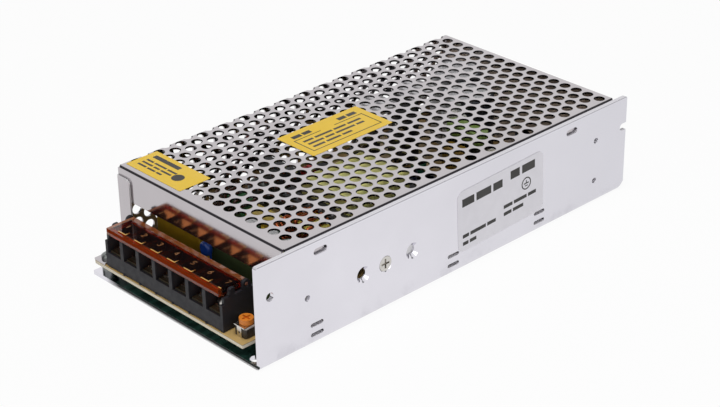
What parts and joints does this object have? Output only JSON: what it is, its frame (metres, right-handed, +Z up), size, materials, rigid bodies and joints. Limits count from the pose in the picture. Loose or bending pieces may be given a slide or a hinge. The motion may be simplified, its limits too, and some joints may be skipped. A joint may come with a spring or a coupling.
{
  "type": "power supply",
  "caption": "Enclosed switching power supply: folded metal chassis, perforated cover, screw terminal block with a hinged amber guard, and a trimmer.",
  "frame": {"origin": "centre of the chassis base, on the surface it stands on", "axes": "+Y from the terminals to the rear, +X to the solid chassis wall, +Z up"},
  "size_m": [0.098, 0.199, 0.042],
  "materials": {
    "chassis_aluminium": "satin, bright",
    "cover_sheet": "satin, perforated",
    "plated_steel": "nickel plated",
    "board_phenolic": "tan above, green mask below",
    "black_plastic": "moulded, fine texture",
    "tinned_brass": "tinned",
    "amber_plastic": "clear amber, glossy",
    "orange_plastic": "moulded",
    "red_plastic": "moulded",
    "fuse_glass": "glass tube with plated caps",
    "dark_coating": "dipped coating",
    "yellow_plastic": "moulded box",
    "blue_coating": "dipped coating",
    "ferrite": "pressed and ground",
    "copper_wire": "enamelled copper",
    "dark_sleeve": "shrink sleeve, bare metal top",
    "yellow_tape": "wound tape",
    "grey_pad": "thermal pad",
    "green_board": "solder mask",
    "green_coating": "dipped coating",
    "white_ceramic": "cast cement"
  },
  "bodies": {
    "case": {"chassis": "chassis_aluminium", "cover": "cover_sheet", "cover_screw": "plated_steel", "main_board": "board_phenolic", "board_spacers": "plated_steel", "board_screws": "plated_steel", "terminal_block": "black_plastic", "terminal_contacts": "tinned_brass", "trimmer_base": "black_plastic", "trimmer_clip": "plated_steel", "selector_body": "black_plastic", "fuse": "fuse_glass", "fuse_clips": "tinned_brass", "thermistor": "dark_coating", "line_capacitor": "yellow_plastic", "disc_capacitor": "blue_coating", "line_choke_core": "ferrite", "line_choke_windings": "copper_wire", "bridge_rectifier": "black_plastic", "bulk_capacitor_1": "dark_sleeve", "bulk_capacitor_2": "dark_sleeve", "heatsink_1": "chassis_aluminium", "heatsink_2": "chassis_aluminium", "switching_transistor_1": "black_plastic", "switching_transistor_2": "black_plastic", "transformer_core": "ferrite", "transformer_bobbin": "black_plastic", "transformer_coil": "yellow_tape", "output_choke_core": "ferrite", "output_choke_winding": "copper_wire", "output_capacitor_1": "dark_sleeve", "output_capacitor_2": "dark_sleeve", "output_capacitor_3": "dark_sleeve", "device_screws": "plated_steel", "heat_spreader": "chassis_aluminium", "insulating_pad": "grey_pad", "output_rectifier": "black_plastic", "clamp_screw": "plated_steel", "control_board": "green_board", "control_chip": "black_plastic", "driver_transformer": "yellow_tape", "film_capacitor": "green_coating", "cement_resistor": "white_ceramic"},
    "guard": {"terminal_guard": "amber_plastic"},
    "trimmer": {"trimmer_rotor": "orange_plastic"},
    "selector": {"selector_slider": "red_plastic"},
    "washer_1": {"clamp_washer_1": "plated_steel"},
    "screw_1": {"terminal_screw_1": "plated_steel"},
    "washer_2": {"clamp_washer_2": "plated_steel"},
    "screw_2": {"terminal_screw_2": "plated_steel"},
    "washer_3": {"clamp_washer_3": "plated_steel"},
    "screw_3": {"terminal_screw_3": "plated_steel"},
    "washer_4": {"clamp_washer_4": "plated_steel"},
    "screw_4": {"terminal_screw_4": "plated_steel"},
    "washer_5": {"clamp_washer_5": "plated_steel"},
    "screw_5": {"terminal_screw_5": "plated_steel"},
    "washer_6": {"clamp_washer_6": "plated_steel"},
    "screw_6": {"terminal_screw_6": "plated_steel"},
    "washer_7": {"clamp_washer_7": "plated_steel"},
    "screw_7": {"terminal_screw_7": "plated_steel"}
  },
  "joints": [
    {"name": "guard_hinge", "type": "hinge", "parent": "case", "child": "guard", "pos_m": [0, -0.0871, 0.0226], "axis": [-1, 0, 0], "range_deg": [0, 90]},
    {"name": "trimmer_turn", "type": "hinge", "parent": "case", "child": "trimmer", "pos_m": [0.03455, -0.0929, 0.011], "axis": [0, 0, 1], "range_deg": [-115, 115]},
    {"name": "selector_slide", "type": "slide", "parent": "case", "child": "selector", "axis": [0, 1, 0], "range_m": [0, 0.004]},
    {"name": "washer_1_lift", "type": "slide", "parent": "case", "child": "washer_1", "axis": [0, 0, 1], "range_m": [0, 0.003]},
    {"name": "screw_1_turn", "type": "hinge", "parent": "washer_1", "child": "screw_1", "pos_m": [-0.03517, -0.0927, 0.015], "axis": [0, 0, 1], "range_deg": [0, 1800]},
    {"name": "washer_2_lift", "type": "slide", "parent": "case", "child": "washer_2", "axis": [0, 0, 1], "range_m": [0, 0.003]},
    {"name": "screw_2_turn", "type": "hinge", "parent": "washer_2", "child": "screw_2", "pos_m": [-0.02542, -0.0927, 0.015], "axis": [0, 0, 1], "range_deg": [0, 1800]},
    {"name": "washer_3_lift", "type": "slide", "parent": "case", "child": "washer_3", "axis": [0, 0, 1], "range_m": [0, 0.003]},
    {"name": "screw_3_turn", "type": "hinge", "parent": "washer_3", "child": "screw_3", "pos_m": [-0.01568, -0.0927, 0.015], "axis": [0, 0, 1], "range_deg": [0, 1800]},
    {"name": "washer_4_lift", "type": "slide", "parent": "case", "child": "washer_4", "axis": [0, 0, 1], "range_m": [0, 0.003]},
    {"name": "screw_4_turn", "type": "hinge", "parent": "washer_4", "child": "screw_4", "pos_m": [-0.00592, -0.0927, 0.015], "axis": [0, 0, 1], "range_deg": [0, 1800]},
    {"name": "washer_5_lift", "type": "slide", "parent": "case", "child": "washer_5", "axis": [0, 0, 1], "range_m": [0, 0.003]},
    {"name": "screw_5_turn", "type": "hinge", "parent": "washer_5", "child": "screw_5", "pos_m": [0.00382, -0.0927, 0.015], "axis": [0, 0, 1], "range_deg": [0, 1800]},
    {"name": "washer_6_lift", "type": "slide", "parent": "case", "child": "washer_6", "axis": [0, 0, 1], "range_m": [0, 0.003]},
    {"name": "screw_6_turn", "type": "hinge", "parent": "washer_6", "child": "screw_6", "pos_m": [0.01358, -0.0927, 0.015], "axis": [0, 0, 1], "range_deg": [0, 1800]},
    {"name": "washer_7_lift", "type": "slide", "parent": "case", "child": "washer_7", "axis": [0, 0, 1], "range_m": [0, 0.003]},
    {"name": "screw_7_turn", "type": "hinge", "parent": "washer_7", "child": "screw_7", "pos_m": [0.02332, -0.0927, 0.015], "axis": [0, 0, 1], "range_deg": [0, 1800]}
  ],
  "couplings": [
    {"joint": "screw_1_turn", "follows": "washer_1_lift", "rad_per_m": 10471},
    {"joint": "screw_2_turn", "follows": "washer_2_lift", "rad_per_m": 10471},
    {"joint": "screw_3_turn", "follows": "washer_3_lift", "rad_per_m": 10471},
    {"joint": "screw_4_turn", "follows": "washer_4_lift", "rad_per_m": 10471},
    {"joint": "screw_5_turn", "follows": "washer_5_lift", "rad_per_m": 10471},
    {"joint": "screw_6_turn", "follows": "washer_6_lift", "rad_per_m": 10471},
    {"joint": "screw_7_turn", "follows": "washer_7_lift", "rad_per_m": 10471}
  ]
}
